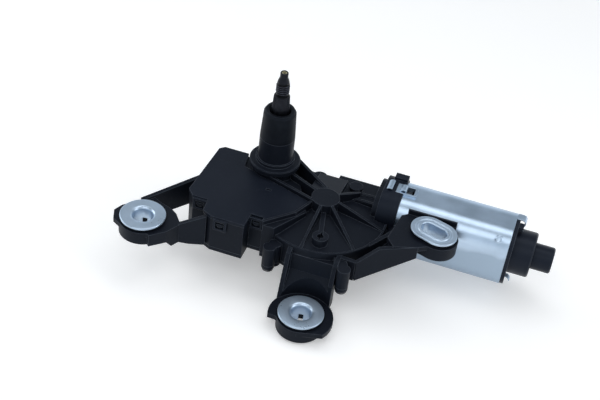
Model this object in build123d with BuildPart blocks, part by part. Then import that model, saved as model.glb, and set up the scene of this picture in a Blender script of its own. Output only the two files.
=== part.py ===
from build123d import *
from math import atan, cos, degrees, hypot, pi, radians, sin, tan
import os

# Rear wiper motor, in millimetres. +Z runs up the wiper spindle, +X runs along the motor
# from the gears to its rear bearing, and +Y points away from the two front lugs.
# The origin is on the spindle's axis, at the top face of the flange that carries the tower.

# Fits between pieces of one body, and between pieces that turn
seat_gap = 0.05
running_gap = 0.05
free_gap = 0.5

# Moulded gearbox housing
wall = 2.5
hub_x = 37.2
hub_y = -17.2
hub_top = -4.0
hub_r = 8.2
hub_foot = -10.5
rim_r = 37.5
rim_z = -14.5
rim_lip = 0.7
back_y = 14.0
cover_z = -28.8
cover_t = 2.4
chamber_top = -15.5
rib_t = 1.6
rib_angles = (-93.5, -45, -4.5)
beam_ribs = (((10.5, 11.0), (35.0, -8.7)), ((12.0, -4.2), (30.5, -13.2)), ((-8.5, -9.0), (31.0, -22.3)))
ridge_rib = ((42.0, -12.0), (53.3, 0.6))
ridge_top = -8.0
tower_chamber_r = 17.5
tower_boss_r = 13.0

# Screws that hold the bottom cover, and their bosses
screw_r = 1.9
screw_len = 9.0
screw_play = 0.3
screw_head_r = 3.2
screw_head_h = 1.6
boss_r = 4.4
side_boss_top = -16.5
side_boss_r = 3.7
side_neck_inset = 0.7
side_boss_angles = (-115.2, -58.4)
side_boss_offsets = (6.6, 9.7)
dome_boss_angle = -77.5
dome_boss_inset = 8.8
dome_boss_top = -9.0
dome_boss_r = 4.6
box_posts = ((-29.0, -5.5), (-29.0, -39.0), (-9.0, -52.0))

# Spindle tower
flange_r = 15.0
flange_t = 3.5
base_ring_r = 11.4
base_ring_h = 2.0
tower_foot_r = 10.3
tower_seam_z = 16.0
tower_top_r = 9.4
tower_top_z = 34.0
tower_tube_r = 8.3
tower_recess_r = 6.2
bush_r = 7.2
bush_len = 10.0
upper_bush_top = 22.0
lower_bush_top = -3.0
seal_t = 1.1
clip_t = 1.0

# Spindle
spindle_r = 5.0
spindle_bore_r = 1.8
clip_groove_r = 4.3
spacer_r = 6.6
knurl_start_z = 28.0
knurl_end_z = 44.8
knurl_start_r = 5.2
knurl_end_r = 4.0
neck_r = 3.5
thread_start_z = 46.0
thread_end_z = 52.4
thread_r = 3.95
cone_end_z = 56.2
tip_r = 2.4
tip_z = 59.6
water_tube_r = 1.5
water_tube_bore_r = 0.9
nipple_r = 3.0
nipple_len = 8.0

# Lever and link that rock the spindle
lever_len = 10.5
lever_w = 9.0
lever_t = 3.4
lever_angle = 65.2
lever_pin_r = 2.5
link_t = 2.3
link_w = 7.0

# Worm drive
wheel_teeth = 45
gear_module = 0.8
worm_pitch_r = 4.0
worm_core_r = 3.1
worm_turns = 5
thread_share = 0.36
wheel_t = 8.0
axle_r = 4.0
crank_r = 8.0
crank_pin_r = 2.5
crank_pin_rise = 0.6

# Motor
motor_z = -21.0
can_w = 33.4
can_h = 39.0
can_corner = 11.7
can_wall = 1.6
can_start = 78.0
can_end = 143.8
can_tab_len = 12.0
can_tab_w = 8.6
can_tab_t = 1.3
can_tab_over = 4.5
can_window_len = 4.6
can_window_w = 6.2
end_plate_t = 2.2
end_round = 0.8
drum_r = 13.3
drum_len = 12.0
nose_r = 7.7
nose_len = 11.5
holder_start = 66.3
holder_grow = 1.3
motor_flange_t = 3.0
worm_tube_front = 9.0
tube_back = 10.0
tube_top = -11.0
shaft_r = 2.5
shaft_start = 24.0
shaft_end = 163.0
stack_r = 11.6
stack_start = 95.0
stack_len = 30.0
air_gap = 0.6
magnet_start = 93.0
magnet_len = 36.0
magnet_half_angle = 55.0
winding_r = 10.2
winding_len = 6.0
commutator_r = 6.0
commutator_start = 82.0
commutator_len = 6.0
bearing_r = 5.5
front_bearing_x = 59.0
front_bearing_len = 6.0
rear_bearing_x = 150.0
rear_bearing_len = 6.0
thrust_len = 3.0
brush_w = 5.0
brush_len = 5.0
spring_r = 1.8
spring_wire = 0.7
choke_r = 2.4
choke_len = 7.5
choke_y = -9.6
terminal_y = 9.4
terminal_w = 6.3
terminal_t = 0.8
terminal_z = 7.4
earth_clip_len = 3.2
earth_clip_w = 9.0
earth_clip_t = 0.8

# Electronics box and its snap-on lid
box_left = -35.0
box_splay = 1.6
box_chamfer = 2.6
box_back = 4.0
box_step_y = -45.4
box_front = -57.9
box_notch_x = 2.5
box_notch_y = -47.5
lid_top = -6.0
lid_t = 2.2
lid_over = 0.4
lid_clip_w = 8.0
lid_clip_h = 6.5
lid_clip_t = 1.2
lid_prong_w = 1.5
catch_w = 3.6
catch_h = 2.6
catch_lift = 2.2
board_z = -20.0
board_t = 1.6
board_blocks = (((-26.0, -15.0), (8.0, 13.0, 8.5)), ((-13.0, -30.0), (10.0, 8.0, 1.8)),
                ((-26.0, -29.0), (6.0, 7.0, 2.4)), ((-26.0, -38.0), (6.0, 5.0, 2.4)))
capacitor_places = ((-13.0, -47.0), (-5.0, -49.0))
capacitor_r = 3.6
capacitor_h = 9.0
socket_x = -27.0
socket_w = 12.6
socket_h = 11.0
socket_z = -19.0
socket_len = 9.0
socket_wall = 1.5
pin_w = 1.0
pin_gap = 2.5

# Rubber-mounted lugs: each lug's centre, and the height of its washer face
washer_r = 13.0
washer_t = 1.2
bore_r = 5.6
bush_wall = 1.2
bush_h = 12.0
rubber_lip_t = 1.8
rubber_lip_r = 12.2
rubber_neck_r = 9.4
plate_t = 3.0
lug_ring_r = 13.4
lug_wall = 2.4
skirt_h = 5.0
pocket_r = 17.6
pocket_lean = 2.0
front_plate_r = 18.4
left_lug = (-54.1, -66.4)
left_lug_top = -12.0
front_lug = (45.3, -75.1)
front_lug_top = -40.0
right_lug = (102.1, -22.6)
right_lug_top = -1.0
slot_half = 3.6
slot_turn = -18.0
slot_washer_r = 10.05
slot_bore_r = 4.2
slot_neck_r = 7.4
slot_land = 1.0
right_back_y = -10.2
right_end_x = 112.9
arm_t = 2.5
left_corner = (-38.7, -71.0)
left_bend = (-34.3, -62.2)

os.makedirs("parts", exist_ok=True)

pitch = pi * gear_module
wheel_r = wheel_teeth * gear_module / 2
worm_y = hub_y + wheel_r + worm_pitch_r
lead_angle = degrees(atan(pitch / (2 * pi * worm_pitch_r)))
lid_seat = lid_top - lid_t
cone_slope = (hub_foot - rim_z) / (rim_r - hub_r)
lever_pin = (lever_len * cos(radians(lever_angle)), lever_len * sin(radians(lever_angle)))
crank_pin = (hub_x + crank_r * cos(radians(lever_angle)),
             hub_y + crank_r * sin(radians(lever_angle)))
wheel_bottom = motor_z - wheel_t / 2
link_top = wheel_bottom - crank_pin_rise - running_gap * 6
lever_bottom = link_top + running_gap * 6


def cone_height(radius):
    """Height of the dome's outer face at a distance from the worm wheel's axis."""
    return hub_foot - cone_slope * (radius - hub_r)


def hub_polar(radius, angle):
    """A place around the worm wheel's axis."""
    return (hub_x + radius * cos(radians(angle)), hub_y + radius * sin(radians(angle)))


def motor_plane(x):
    """A plane across the motor's axis: its x is +Y of the part and its y is +Z."""
    return Plane(origin=(x, worm_y, motor_z), x_dir=(0, 1, 0), z_dir=(1, 0, 0))


def upright(start, end):
    """A vertical plane whose x runs from start to end and whose y is +Z."""
    run = (end[0] - start[0], end[1] - start[1], 0)
    return Plane(origin=(start[0], start[1], 0), x_dir=run, z_dir=(run[1], -run[0], 0))


def span(start, end):
    return hypot(end[0] - start[0], end[1] - start[1])


def save(piece, name):
    """Names a finished piece after its node and writes it."""
    piece.part.label = name
    export_step(piece.part, "parts/" + name + ".step")


beam_outline = [(0, -18), (32, -27), (44, -10), (36, back_y), (21, back_y - 0.5), (7, 18.7)]
link_room = [(0, -15.5), (32, -24.5), (44, -8), (36, back_y - wall), (20.5, back_y - wall - 0.5), (6, 16.4)]

box_outline = [
    (box_left, box_back - box_chamfer), (box_left - box_splay, box_step_y + 4.4),
    (box_left + 2.2, box_step_y), (-23.4, box_step_y), (-22.2, box_front + 2.8),
    (-16.8, box_front), (box_notch_x, box_front), (box_notch_x, box_notch_y), (11.0, box_notch_y),
    (11.0, -51.0), (18.0, -51.0), (30.0, -30.0), (15.0, 0.0), (8.0, box_back),
    (box_left + box_chamfer, box_back),
]

lid_outline = [
    (box_left - lid_over, box_back - box_chamfer + 0.2), (box_left - box_splay - lid_over, box_step_y + 4.2),
    (box_left + 2.0, box_step_y - lid_over), (-23.8, box_step_y - lid_over),
    (-22.6, box_front + 2.6), (-17.0, box_front - lid_over), (box_notch_x + lid_over, box_front - lid_over),
    (box_notch_x + lid_over, box_notch_y + lid_over), (10.4, box_notch_y + lid_over),
    (10.4, -49.6), (24.4, -35.0), (29.4, -23.0), (-15.4, -8.0), (-17.4, box_back + lid_over),
    (box_left + box_chamfer - 0.2, box_back + lid_over),
]

left_plate_top = left_lug_top - washer_t - rubber_lip_t
left_floor = left_plate_top - plate_t
front_plate_top = front_lug_top - washer_t - rubber_lip_t
front_floor = front_plate_top - plate_t
right_plate_top = right_lug_top - washer_t - rubber_lip_t
right_floor = right_plate_top - plate_t
right_seat = Location((right_lug[0], right_lug[1], 0), (0, 0, slot_turn))
side_bosses = [hub_polar(rim_r + offset, angle) for angle, offset in zip(side_boss_angles, side_boss_offsets)]
side_webs = [hub_polar(rim_r + side_boss_r / 2, angle) for angle in side_boss_angles]
dome_boss = hub_polar(rim_r - dome_boss_inset, dome_boss_angle)
cover_screw_places = (*side_bosses, dome_boss, *box_posts)
axle_top = hub_top - wall
lid_clips = ((-28.2, box_step_y), (-11.2, box_front), (6.5, box_notch_y))
connector_pin_places = [(socket_x + pin_gap * (step - 1.5), socket_z) for step in range(4)]

# Floor of the right arm, between the skirt and the slotted lug
with BuildPart() as arm_floor:
    with BuildSketch(Plane.XZ.offset(13.0)):
        with BuildLine():
            Polyline((69.5, -24.0), (86.0, right_plate_top), (86.0, right_floor), (69.5, -27.0), close=True)
        make_face()
    extrude(amount=36.5)
    with BuildSketch(Plane.XY.offset(cover_z)):
        with BuildLine():
            Polyline((64.0, -13.0), (66.6, -49.5), (96.5, -36.0), (87.0, -13.0), close=True)
        make_face()
    extrude(amount=-cover_z, mode=Mode.INTERSECT)

# Gearbox housing: one black moulding with the ribbed dome over the worm wheel, the beam to
# the spindle tower, the open electronics box, the worm tube, and the arms to the three lugs.
with BuildPart() as gearbox_housing:
    # Dome and skirt around the worm wheel's axis, with the hub's disc on top, cut flat at the back
    with BuildSketch(Plane.XZ.offset(-hub_y)):
        with BuildLine():
            Polyline((hub_x, cover_z), (hub_x + rim_r, cover_z), (hub_x + rim_r, rim_z),
                     (hub_x + rim_r - 0.4, rim_z + rim_lip), (hub_x + rim_r - 1.2, rim_z + rim_lip),
                     (hub_x + rim_r - 1.4, cone_height(rim_r - 1.4)), (hub_x + hub_r, hub_foot),
                     (hub_x + hub_r, hub_top), (hub_x, hub_top), close=True)
        make_face()
    revolve(axis=Axis((hub_x, hub_y, 0), (0, 0, 1)))
    with BuildSketch(Plane.XY.offset(cover_z)):
        with Locations((hub_x, back_y)):
            Rectangle(2 * rim_r, rim_r, align=(Align.CENTER, Align.MIN))
    extrude(amount=hub_top - cover_z, mode=Mode.SUBTRACT)
    # Electronics box, with the lid's seat cut level
    with BuildSketch(Plane.XY.offset(cover_z)):
        with BuildLine():
            Polyline(*box_outline, close=True)
        make_face()
    extrude(amount=lid_seat - cover_z)
    with BuildSketch(Plane.XY.offset(lid_seat)):
        with BuildLine():
            Polyline(*lid_outline, close=True)
        make_face()
    extrude(amount=hub_top - lid_seat, mode=Mode.SUBTRACT)
    # Wall round the chamber of the lever and link
    with BuildSketch(Plane.XY.offset(cover_z)):
        Circle(tower_chamber_r + wall)
        with BuildLine():
            Polyline(*beam_outline, close=True)
        make_face()
    extrude(amount=chamber_top + wall - cover_z)
    # Worm tube with its flat top, its ridge behind the hub, and the flange for the motor
    with BuildSketch(motor_plane(hub_x)):
        with Locations((-worm_tube_front, cover_z - motor_z)):
            Rectangle(worm_tube_front + tube_back, tube_top - cover_z, align=(Align.MIN, Align.MIN))
    extrude(amount=holder_start - hub_x)
    with BuildSketch(motor_plane(holder_start - motor_flange_t)):
        RectangleRounded(can_w - 2, can_h - 3, can_corner - 1)
    extrude(amount=motor_flange_t)
    with BuildSketch(Plane.YZ.offset(26.5)):
        with BuildLine():
            Polyline((hub_y + hub_r - 3, hub_top), (8.0, ridge_top), (back_y - 1, rim_z + 1),
                     (back_y - 1, rim_z - 1), (hub_y + hub_r - 3, rim_z - 1), close=True)
        make_face()
    extrude(amount=17.2)
    with BuildSketch(Plane.XY.offset(ridge_top)):
        with Locations((27.2, 5.0)):
            Circle(4.4)
        with Locations((49.5, 5.4)):
            Circle(4.0)
    extrude(amount=rim_z - ridge_top - 1)
    # Boss under the tower
    with BuildSketch(Plane.XY.offset(chamber_top)):
        Circle(tower_boss_r)
    extrude(amount=-flange_t - chamber_top)
    # Thin ribs from the hub's disc to the dome's rim, and the three ribs of the beam
    for angle in rib_angles:
        rib_plane = Plane(origin=(hub_x, hub_y, 0), x_dir=(cos(radians(angle)), sin(radians(angle)), 0),
                          z_dir=(sin(radians(angle)), -cos(radians(angle)), 0))
        with BuildSketch(rib_plane):
            with BuildLine():
                Polyline((hub_r - 1, hub_top), (rim_r - 1, rim_z + rim_lip), (rim_r - 1, rim_z - 1),
                         (hub_r - 1, hub_foot - 1), close=True)
            make_face()
        extrude(amount=rib_t / 2, both=True)
    for start, end in beam_ribs:
        with BuildSketch(upright(start, end)):
            with Locations((0, chamber_top + 1)):
                Rectangle(span(start, end), hub_top - chamber_top - 1, align=(Align.MIN, Align.MIN))
        extrude(amount=rib_t / 2, both=True)
    ridge_rib_len = span(*ridge_rib)
    with BuildSketch(upright(*ridge_rib)):
        with BuildLine():
            Polyline((0, hub_top), (ridge_rib_len, ridge_top), (ridge_rib_len, rim_z - 1), (0, rim_z - 1),
                     close=True)
        make_face()
    extrude(amount=rib_t / 2, both=True)
    # Rim between the dome and the lid
    for start, end in (((30.4, -22.4), (25.2, -35.4)), ((25.2, -35.4), (11.2, -50.4))):
        with BuildSketch(upright(start, end)):
            with Locations((-0.5, lid_seat - 4)):
                Rectangle(span(start, end) + 1, lid_top + 0.6 - lid_seat + 4, align=(Align.MIN, Align.MIN))
        extrude(amount=0.7, both=True)
    # Two ribs along the top of the worm tube
    for side in (-3.1, 3.1):
        with BuildSketch(Plane.XY.offset(tube_top - 1)):
            with Locations((52.0, worm_y - tube_back / 2 + side)):
                Rectangle(holder_start - motor_flange_t - 52.0, rib_t, align=(Align.MIN, Align.CENTER))
        extrude(amount=1.9)
    # Screw bosses on the skirt, and the boss on the dome with its round ridge to the hub
    with BuildSketch(Plane.XY.offset(cover_z)):
        with Locations(*side_bosses):
            Circle(side_boss_r)
        with Locations(*side_webs):
            Circle(side_boss_r)
        for boss, web in zip(side_bosses, side_webs):
            with Locations(((boss[0] + web[0]) / 2, (boss[1] + web[1]) / 2)):
                Circle(side_boss_r - side_neck_inset)
    extrude(amount=side_boss_top - cover_z)
    with BuildSketch(Plane.XY.offset(dome_boss_top)):
        with Locations(dome_boss):
            Circle(dome_boss_r)
    extrude(amount=rim_z - dome_boss_top)
    with BuildSketch(Plane.XY.offset(dome_boss_top)):
        with Locations(dome_boss):
            Circle(screw_r)
            Rectangle(1.0, 2 * dome_boss_r - 2.4)
    extrude(amount=-3.0, mode=Mode.SUBTRACT)
    ridge_start = hub_polar(hub_r - 1, dome_boss_angle)
    with BuildSketch(upright(ridge_start, dome_boss)):
        with Locations((0, rim_z)):
            Rectangle(span(ridge_start, dome_boss) - dome_boss_r + 1, hub_foot + 1.6 - rim_z,
                      align=(Align.MIN, Align.MIN))
    extrude(amount=1.3, both=True)
    # Left arm: plate round the lug, back wall and front wall in full depth, open between them
    with BuildSketch(Plane.XY.offset(left_floor)):
        with Locations(left_lug):
            Circle(lug_ring_r)
        with BuildLine():
            Polyline((-69.4, -60.9), (-71.6, -66.5), (-69.0, -73.0), (-62.0, -76.9), (-46.5, -77.9),
                     (-38.5, -71.5), (-33.6, -61.5), (-38.6, -55.0), (-42.4, -52.3), (-50.5, -49.5),
                     (-57.0, -45.8), (-61.5, -52.4), close=True)
        make_face()
    extrude(amount=plate_t)
    left_foot = left_floor - skirt_h
    for start, end, start_foot, end_foot, start_top, end_top in (
            ((-60.9, -52.6), (-34.8, -17.0), left_foot, cover_z, left_plate_top + 1.2, -11.5),
            ((-46.0, -77.9), left_corner, left_foot, left_foot, left_plate_top, left_plate_top),
            (left_corner, left_bend, left_foot, cover_z + 1, left_plate_top, left_plate_top),
            (left_bend, (-20.0, -57.0), cover_z + 1, cover_z, left_plate_top, lid_seat)):
        length = span(start, end)
        with BuildSketch(upright(start, end)):
            with BuildLine():
                Polyline((0, start_foot), (0, start_top), (length, end_top), (length, end_foot),
                         (length * 0.4, end_foot), close=True)
            make_face()
        extrude(amount=arm_t / 2, both=True)
    with BuildSketch(Plane.XY.offset(left_foot)):
        with Locations(left_corner, left_bend):
            Circle(arm_t / 2)
    extrude(amount=skirt_h + plate_t)
    # Front arm: wall between two ribs, down from the skirt to the front lug's plate
    arm_left = front_lug[0] - 17.0
    arm_right = front_lug[0] + 12.6
    for rib_x in (arm_left, arm_right - arm_t):
        with BuildSketch(Plane.YZ.offset(rib_x)):
            with BuildLine():
                Polyline((-46.0, rim_z - 1), (-55.0, rim_z - 0.7), (-57.5, rim_z - 2.5),
                         (-66.5, front_plate_top), (-66.5, front_floor), (-55.2, front_floor),
                         (-55.2, cover_z), (-46.0, cover_z), close=True)
            make_face()
        extrude(amount=arm_t)
    with BuildSketch(Plane.YZ.offset(arm_left)):
        with BuildLine():
            Polyline((-46.0, rim_z - 4), (-55.0, rim_z - 4), (-55.6, cover_z), (-66.0, front_plate_top + 2),
                     (-66.0, front_floor), (-55.2, front_floor), (-55.2, cover_z), (-46.0, cover_z),
                     close=True)
        make_face()
    extrude(amount=arm_right - arm_left)
    with BuildSketch(Plane.XY.offset(front_plate_top)):
        with Locations(front_lug):
            Circle(pocket_r)
    extrude(amount=cover_z - front_plate_top, taper=-pocket_lean, mode=Mode.SUBTRACT)
    with BuildSketch(Plane.XY.offset(front_floor)):
        with Locations(front_lug):
            Circle(front_plate_r)
            with BuildLine():
                Polyline((front_lug[0] - 30, front_lug[1] - 5.3), (front_lug[0] - 13, front_lug[1] - 6),
                         (front_lug[0] + 2, front_lug[1] - 13.3), (front_lug[0] + 17, front_lug[1] - 9),
                         (front_lug[0] + 30, front_lug[1] - 2), (front_lug[0] + 30, front_lug[1] - 40),
                         (front_lug[0] - 30, front_lug[1] - 40), close=True)
            make_face(mode=Mode.SUBTRACT)
            Circle(lug_ring_r)
    extrude(amount=plate_t)
    # Rings under the plates of both round lugs
    for lug, floor in ((left_lug, left_floor), (front_lug, front_floor)):
        with BuildSketch(Plane.XY.offset(floor)):
            with Locations(lug):
                Circle(lug_ring_r)
                Circle(lug_ring_r - lug_wall + 1.6, mode=Mode.SUBTRACT)
        extrude(amount=-skirt_h)
    # Right arm: front wall and plate out to the slotted lug beside the motor
    wall_start = (66.6, -49.9)
    wall_end = (96.5, -36.0)
    wall_length = span(wall_start, wall_end)
    with BuildSketch(upright(wall_start, wall_end)):
        with BuildLine():
            Polyline((0, cover_z), (0, rim_z - 1), (wall_length * 0.35, right_plate_top - 1.5),
                     (wall_length, right_plate_top), (wall_length, right_floor - skirt_h), close=True)
        make_face()
    extrude(amount=arm_t / 2, both=True)
    side_start = (56.5, -49.6)
    with BuildSketch(upright(side_start, wall_start)):
        with Locations((0, cover_z)):
            Rectangle(span(side_start, wall_start), rim_z - 1 - cover_z, align=(Align.MIN, Align.MIN))
    extrude(amount=arm_t / 2, both=True)
    add(arm_floor.part)
    with BuildSketch(Plane.XY.offset(right_floor)):
        with BuildLine():
            Polyline((81.5, -14.0), (86.0, right_back_y), (right_end_x, right_back_y), (right_end_x, -15.0),
                     (108.0, -30.0), (96.5, -37.2), (84.0, -42.0), (79.0, -36.0), close=True)
        make_face()
        with Locations(right_seat):
            SlotCenterToCenter(2 * slot_half, 2 * (slot_washer_r + slot_land))
        with Locations((right_lug[0], right_back_y)):
            Rectangle(60, 20, align=(Align.CENTER, Align.MIN), mode=Mode.SUBTRACT)
    extrude(amount=plate_t)
    with BuildSketch(Plane.XY.offset(right_floor)):
        with Locations((84.5, right_back_y)):
            Rectangle(right_end_x - 84.5, 1.0, align=(Align.MIN, Align.MAX))
    extrude(amount=right_lug_top + 0.2 - right_floor)
    with BuildSketch(Plane.XY.offset(right_floor)):
        with Locations(right_seat):
            SlotCenterToCenter(2 * slot_half, 2 * (slot_washer_r + slot_land))
            SlotCenterToCenter(2 * slot_half, 2 * (slot_washer_r + slot_land - 1.2),
                               mode=Mode.SUBTRACT)
        with Locations((right_lug[0], right_back_y - 1.8)):
            Rectangle(60, 20, align=(Align.CENTER, Align.MIN), mode=Mode.SUBTRACT)
    extrude(amount=-skirt_h)
    strut_start = (67.5, -36.0)
    strut_end = (83.5, -25.0)
    with BuildSketch(upright(strut_start, strut_end)):
        with BuildLine():
            Polyline((0, cover_z + 4), (0, rim_z - 1), (span(strut_start, strut_end), right_plate_top),
                     (span(strut_start, strut_end), right_floor - skirt_h), close=True)
        make_face()
    extrude(amount=arm_t / 2, both=True)
    # Room for the motor and its holder
    for start, end, grow in ((holder_start, can_start + 1, holder_grow + free_gap),
                             (can_start, can_end, free_gap)):
        with BuildSketch(motor_plane(start)):
            RectangleRounded(can_w + 2 * grow, can_h + 2 * grow, can_corner + grow)
        extrude(amount=end - start, mode=Mode.SUBTRACT)
    # Chambers for the wheel, the lever and link, and the worm
    for floor, radius, height in ((cover_z, rim_r - wall, rim_z - wall - cover_z),
                                  (rim_z - wall, rim_r - 9, chamber_top - rim_z + wall)):
        with BuildSketch(Plane.XY.offset(floor)):
            with Locations((hub_x, hub_y)):
                Circle(radius)
            with Locations((hub_x, back_y - wall)):
                Rectangle(2 * rim_r, rim_r, align=(Align.CENTER, Align.MIN), mode=Mode.SUBTRACT)
            Circle(tower_chamber_r)
            with BuildLine():
                Polyline(*link_room, close=True)
            make_face()
        extrude(amount=height, mode=Mode.SUBTRACT)
    with BuildSketch(Plane.YZ.offset(shaft_start - 1)):
        with Locations((worm_y, motor_z)):
            Rectangle(10, chamber_top - motor_z, align=(Align.CENTER, Align.MIN))
            Circle(shaft_r + running_gap, mode=Mode.SUBTRACT)
    extrude(amount=4)
    with BuildSketch(motor_plane(hub_x)):
        Circle(bearing_r + seat_gap)
    extrude(amount=holder_start - hub_x, mode=Mode.SUBTRACT)
    # Electronics box hollow, clear of the walls round the chambers
    with BuildSketch(Plane.XY.offset(cover_z + wall)):
        with BuildLine():
            Polyline(*box_outline, close=True)
        make_face()
        offset(amount=-wall, kind=Kind.INTERSECTION, mode=Mode.REPLACE)
        with Locations((hub_x, hub_y)):
            Circle(rim_r, mode=Mode.SUBTRACT)
        Circle(tower_chamber_r + wall, mode=Mode.SUBTRACT)
        with Locations((8, box_back)):
            Rectangle(40, 60, align=(Align.MIN, Align.MAX), mode=Mode.SUBTRACT)
    extrude(amount=lid_seat - cover_z, mode=Mode.SUBTRACT)
    # Mouth for the harness socket in the box's back wall
    with BuildSketch(Plane.XZ.offset(-box_back)):
        with Locations((socket_x, socket_z)):
            Rectangle(socket_w + 2 * seat_gap, socket_h + 2 * seat_gap)
    extrude(amount=wall, mode=Mode.SUBTRACT)
    # Bore that the tower's foot is moulded into
    with BuildSketch(Plane.XY.offset(chamber_top)):
        Circle(tower_foot_r + seat_gap)
    extrude(amount=-flange_t - chamber_top, mode=Mode.SUBTRACT)
    # Seats for the rubber grommets
    for lug, floor in ((left_lug, left_floor), (front_lug, front_floor)):
        with BuildSketch(Plane.XY.offset(floor)):
            with Locations(lug):
                Circle(rubber_neck_r + seat_gap)
        extrude(amount=plate_t, mode=Mode.SUBTRACT)
    with BuildSketch(Plane.XY.offset(right_floor)):
        with Locations(right_seat):
            SlotCenterToCenter(2 * slot_half, 2 * (slot_neck_r + seat_gap))
    extrude(amount=plate_t, mode=Mode.SUBTRACT)
    # Holes for the cover's screws, posts under the circuit board, and the wheel's axle
    with BuildSketch(Plane.XY.offset(cover_z)):
        with Locations(dome_boss):
            Circle(boss_r)
    extrude(amount=chamber_top - cover_z)
    with BuildSketch(Plane.XY.offset(cover_z)):
        with Locations(*box_posts):
            Circle(boss_r)
    extrude(amount=board_z - board_t - cover_z)
    with BuildSketch(Plane.XY.offset(cover_z)):
        with Locations(*cover_screw_places):
            Circle(screw_r + seat_gap)
    extrude(amount=screw_len - cover_t + 0.3, mode=Mode.SUBTRACT)
    with BuildSketch(Plane.XY.offset(chamber_top)):
        with Locations((hub_x, hub_y)):
            Circle(axle_r + seat_gap)
    extrude(amount=axle_top - chamber_top, mode=Mode.SUBTRACT)
    # Catches for the lid's clips, each a wedge with its point down between the prongs
    catch_z = lid_seat - lid_clip_h + catch_lift
    for clip_x, clip_y in lid_clips:
        with BuildSketch(Plane.XZ.offset(-clip_y)):
            with BuildLine():
                Polyline((clip_x - catch_w / 2, catch_z + catch_h * 0.4), (clip_x, catch_z),
                         (clip_x + catch_w / 2, catch_z + catch_h * 0.4),
                         (clip_x + catch_w / 2, catch_z + catch_h), (clip_x - catch_w / 2, catch_z + catch_h),
                         close=True)
            make_face()
        extrude(amount=lid_clip_t)
save(gearbox_housing, "gearbox_housing")

# Spindle tower: the flange, its ring and the tube that carries both bushes
with BuildPart() as spindle_tower:
    with BuildSketch(Plane.XZ):
        with BuildLine():
            Polyline((0, chamber_top), (tower_foot_r, chamber_top), (tower_foot_r, seat_gap - flange_t),
                     (flange_r - 0.6, seat_gap - flange_t), (flange_r, -flange_t + 0.6),
                     (flange_r, -0.6), (flange_r - 0.6, 0), (base_ring_r, 0),
                     (base_ring_r, base_ring_h), (tower_foot_r, base_ring_h),
                     (tower_foot_r, tower_seam_z), (tower_tube_r, tower_seam_z),
                     (tower_tube_r, tower_top_z - 0.5), (0, tower_top_z - 0.5), close=True)
        make_face()
    revolve(axis=Axis.Z)
    with BuildSketch(Plane.XY.offset(chamber_top)):
        Circle(bush_r + seat_gap)
    extrude(amount=upper_bush_top - chamber_top, mode=Mode.SUBTRACT)
    with BuildSketch(Plane.XY.offset(upper_bush_top)):
        Circle(tower_recess_r)
    extrude(amount=tower_top_z - upper_bush_top, mode=Mode.SUBTRACT)
save(spindle_tower, "spindle_tower")

# Bottom cover: a flat moulded plate with the hose nipple under the spindle.
cover_foot = cover_z - cover_t
with BuildPart() as bottom_cover:
    with BuildSketch(Plane.XY.offset(cover_foot)):
        with BuildLine():
            Polyline(*box_outline, close=True)
        make_face()
        with Locations((hub_x, hub_y)):
            Circle(rim_r)
        with Locations((hub_x, back_y)):
            Rectangle(2 * rim_r, rim_r, align=(Align.CENTER, Align.MIN), mode=Mode.SUBTRACT)
        Circle(tower_chamber_r + wall)
        with Locations(*side_bosses, *side_webs):
            Circle(side_boss_r)
        for boss, web in zip(side_bosses, side_webs):
            with Locations(((boss[0] + web[0]) / 2, (boss[1] + web[1]) / 2)):
                Circle(side_boss_r - side_neck_inset)
        with BuildLine():
            Polyline(*beam_outline, close=True)
        make_face()
        with Locations((holder_start - motor_flange_t - free_gap,
                        worm_y - can_w / 2 - holder_grow - free_gap)):
            Rectangle(rim_r, rim_r, align=(Align.MIN, Align.MIN), mode=Mode.SUBTRACT)
    extrude(amount=cover_t - seat_gap)
    with BuildSketch(Plane.XY.offset(cover_foot)):
        Circle(nipple_r)
    extrude(amount=-nipple_len)
    with BuildSketch(Plane.XY.offset(cover_foot - nipple_len)):
        Circle(water_tube_r + seat_gap)
        with Locations(*cover_screw_places):
            Circle(screw_r + screw_play)
    extrude(amount=nipple_len + cover_t, mode=Mode.SUBTRACT)
save(bottom_cover, "bottom_cover")

# Screws of the bottom cover
with BuildPart() as cover_screws:
    with BuildSketch(Plane.XY.offset(cover_foot)):
        with Locations(*cover_screw_places):
            Circle(screw_head_r)
    extrude(amount=-screw_head_h)
    with BuildSketch(Plane.XY.offset(cover_foot)):
        with Locations(*cover_screw_places):
            Circle(screw_r)
    extrude(amount=screw_len)
save(cover_screws, "cover_screws")

# Electronics cover: a flat lid that snaps over three catches and leaves room for the tower
with BuildPart() as electronics_cover:
    with BuildSketch(Plane.XY.offset(lid_seat)):
        with BuildLine():
            Polyline(*lid_outline, close=True)
        make_face()
        offset(amount=-seat_gap, kind=Kind.INTERSECTION, mode=Mode.REPLACE)
        Circle(flange_r - 2 + free_gap, mode=Mode.SUBTRACT)
    extrude(amount=lid_t)
    for clip_x, clip_y in lid_clips:
        with BuildSketch(Plane.XZ.offset(-clip_y + seat_gap)):
            with Locations((clip_x, lid_seat + 1)):
                Rectangle(lid_clip_w, lid_clip_h + 1, align=(Align.CENTER, Align.MAX))
            with Locations((clip_x, lid_seat - 0.6)):
                Rectangle(lid_clip_w - 2 * lid_prong_w, lid_clip_h - 1.9, align=(Align.CENTER, Align.MAX),
                          mode=Mode.SUBTRACT)
        extrude(amount=lid_clip_t)
    with BuildSketch(Plane.XY.offset(lid_top)):
        with Locations((4.4, -22.8)):
            Rectangle(3.2, 1.6)
    extrude(amount=-1, mode=Mode.SUBTRACT)
save(electronics_cover, "electronics_cover")

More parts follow.
